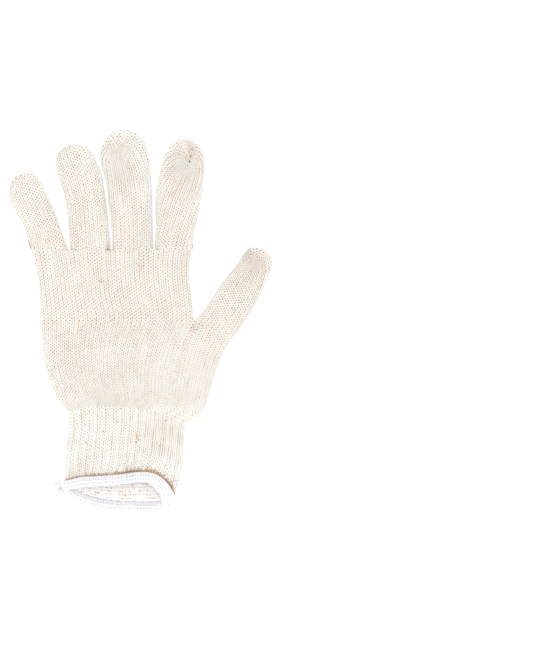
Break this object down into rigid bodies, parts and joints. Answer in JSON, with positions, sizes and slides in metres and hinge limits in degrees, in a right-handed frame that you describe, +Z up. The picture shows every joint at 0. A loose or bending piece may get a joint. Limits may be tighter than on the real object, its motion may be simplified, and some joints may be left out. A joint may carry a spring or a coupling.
{
  "type": "glove liner",
  "caption": "Seamless string-knit glove liner with ribbed elastic cuff and white overlocked hem, lying flat with its cuff mouth slightly open.",
  "frame": {"origin": "on the surface the glove lies on, under the middle of its bounding box", "axes": "+Y from the cuff to the fingertips, +X to the thumb side, +Z up from the surface; the glove lies flat"},
  "size_m": [0.1696, 0.245, 0.0145],
  "materials": {
    "natural_cotton_knit": "matte unbleached cotton, plain string knit, with small dark gaps between the stitches",
    "white_overlock_thread": "matte bleached thread, closely sewn"
  },
  "bodies": {
    "root": {"little_finger": "natural_cotton_knit", "ring_finger": "natural_cotton_knit", "middle_finger": "natural_cotton_knit", "index_finger": "natural_cotton_knit", "thumb": "natural_cotton_knit", "four_finger_body": "natural_cotton_knit", "five_finger_body": "natural_cotton_knit", "cuff": "natural_cotton_knit", "overlock_hem": "white_overlock_thread", "thread_tail": "white_overlock_thread"}
  },
  "joints": []
}
